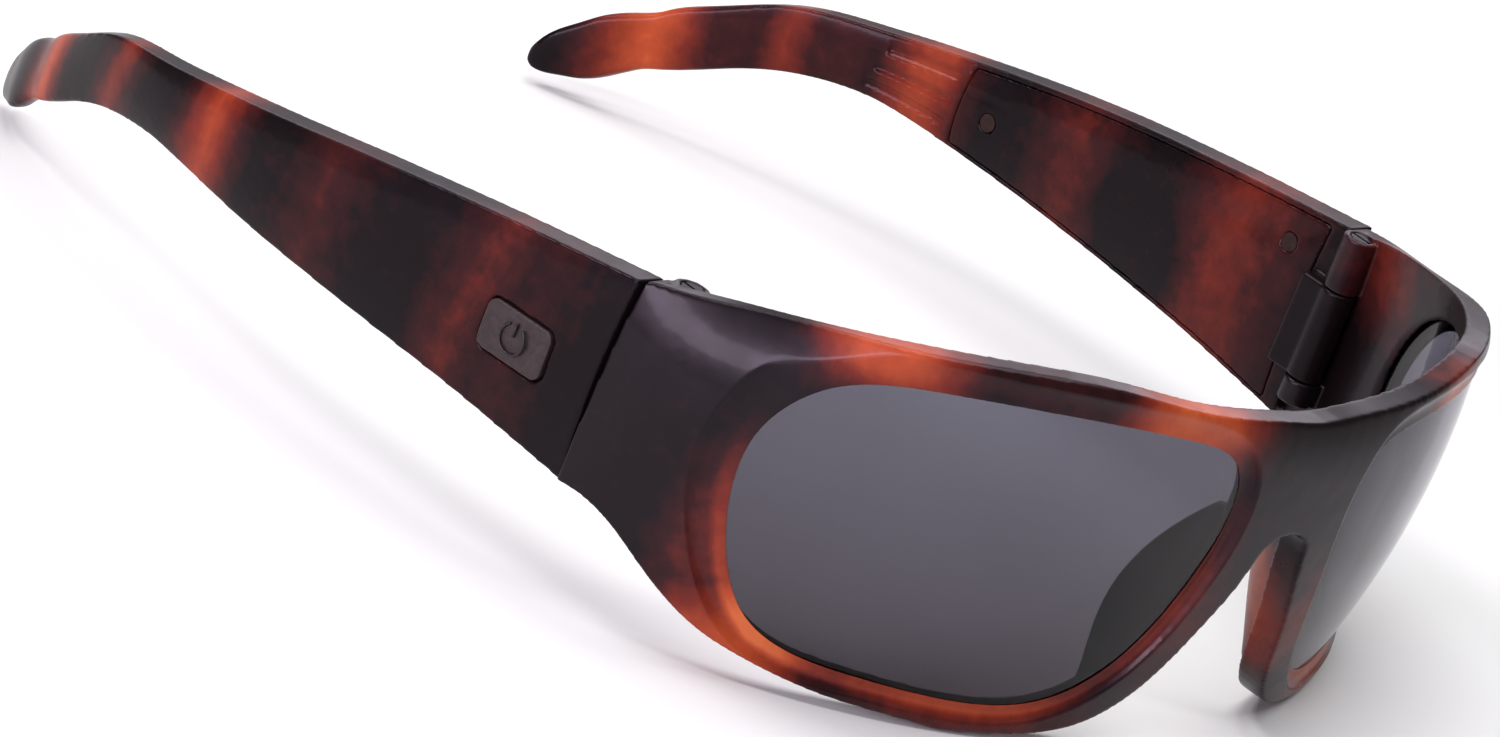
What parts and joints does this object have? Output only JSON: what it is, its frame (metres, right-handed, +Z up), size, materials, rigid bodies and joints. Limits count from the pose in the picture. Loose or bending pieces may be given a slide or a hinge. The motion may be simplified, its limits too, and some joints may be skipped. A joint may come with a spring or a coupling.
{
  "type": "smart glasses",
  "caption": "Wrap-around tinted glasses with folding temples that hold speakers, microphones, batteries and a power button.",
  "frame": {"origin": "centre of the whole bounding box, on the ground plane that the rims and the temple tips rest on", "axes": "+Z up, the front faces -Y, the temples run towards +Y, +X is the wearer's left"},
  "size_m": [0.1492, 0.1668, 0.0483],
  "materials": {
    "tortoiseshell": "soft matt dark tortoiseshell with orange-brown blotches",
    "cover_tortoiseshell": "satin dark tortoiseshell",
    "lens_tint": "polished neutral grey tint",
    "screw_steel": "turned",
    "plug_plastic": "satin dark",
    "board_laminate": "solder mask",
    "battery_foil": "satin pouch",
    "speaker_case": "moulded",
    "mesh_steel": "etched, blackened",
    "mic_can": "plated can",
    "button_plastic": "soft matt dark tortoiseshell",
    "switch_case": "moulded",
    "contact_gold": "polished"
  },
  "bodies": {
    "front": {"front_frame": "tortoiseshell", "lens_left": "lens_tint", "lens_right": "lens_tint", "hinge_screw_left": "screw_steel", "hinge_screw_right": "screw_steel"},
    "temple_left": {"temple_shell_left": "tortoiseshell", "temple_cover_left": "cover_tortoiseshell", "cover_screws_left": "screw_steel", "cover_plugs_left": "plug_plastic", "circuit_board_left": "board_laminate", "battery_left": "battery_foil", "speaker_left": "speaker_case", "speaker_mesh_left": "mesh_steel", "microphone_left": "mic_can"},
    "temple_right": {"temple_shell_right": "tortoiseshell", "temple_cover_right": "cover_tortoiseshell", "cover_screws_right": "screw_steel", "cover_plugs_right": "plug_plastic", "circuit_board_right": "board_laminate", "battery_right": "battery_foil", "speaker_right": "speaker_case", "speaker_mesh_right": "mesh_steel", "microphone_right": "mic_can", "button_switch": "switch_case", "charge_contacts": "contact_gold"},
    "button": {"power_button": "button_plastic"}
  },
  "joints": [
    {"name": "hinge_left", "type": "hinge", "parent": "front", "child": "temple_left", "pos_m": [0.0648, -0.03575, 0.027], "axis": [0, 0, 1], "range_deg": [0, 88]},
    {"name": "hinge_right", "type": "hinge", "parent": "front", "child": "temple_right", "pos_m": [-0.0648, -0.03575, 0.027], "axis": [0, 0, -1], "range_deg": [0, 78]},
    {"name": "button_press", "type": "slide", "parent": "temple_right", "child": "button", "axis": [1, 0, 0], "range_m": [0, 0.00035], "stiffness_N_per_m": 3000}
  ]
}
